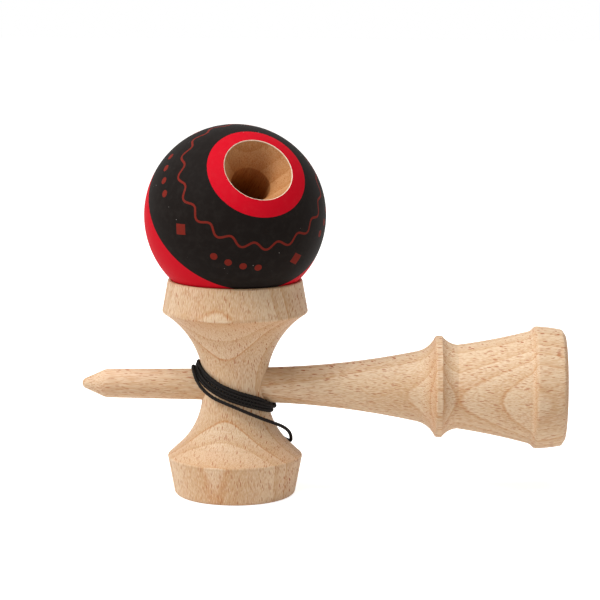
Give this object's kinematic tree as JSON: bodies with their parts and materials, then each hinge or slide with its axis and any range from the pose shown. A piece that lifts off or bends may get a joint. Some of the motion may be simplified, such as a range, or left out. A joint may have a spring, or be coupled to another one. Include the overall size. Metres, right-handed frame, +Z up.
{
  "type": "kendama",
  "caption": "Wooden cup-and-ball skill toy: a spiked turned handle wedged through a cross piece with two cups, a bored painted ball on a cord, cord wound round the waist.",
  "frame": {"origin": "centre of the small cup's lip, on the surface that the toy stands on", "axes": "+Z up along the cross piece, from the small cup to the large cup; +X along the handle, from the spike to the base cup; the ball's hole faces -Y, upwards and a little to +X"},
  "size_m": [0.1604, 0.06, 0.1235],
  "materials": {
    "beech": "sanded, unvarnished beech",
    "painted_beech": "satin paint: black band with a thin dull red wavy line, red ring and red cap, bare wood in the hole",
    "bead_wood": "smooth turned wood",
    "cord": "tightly twisted black cord with a slight sheen"
  },
  "bodies": {
    "sarado": {"sarado": "beech", "string_lead": "cord", "string_hank": "cord", "string_run": "cord"},
    "ken": {"ken": "beech", "string_ken_end": "cord"},
    "bead": {"stop_bead": "bead_wood", "string_tama_end": "cord"},
    "tama": {"tama": "painted_beech"}
  },
  "joints": [
    {"name": "ken_slide", "type": "slide", "parent": "sarado", "child": "ken", "axis": [1, 0, 0], "range_m": [0, 0.07]},
    {"name": "tama_lift", "type": "slide", "parent": "sarado", "child": "bead", "axis": [0, 0, 1], "range_m": [0, 0.045]},
    {"name": "tama_spin", "type": "hinge", "parent": "bead", "child": "tama", "pos_m": [0, 0, 0.09352], "axis": [0.3045, -0.7245, 0.6184], "continuous": true}
  ]
}
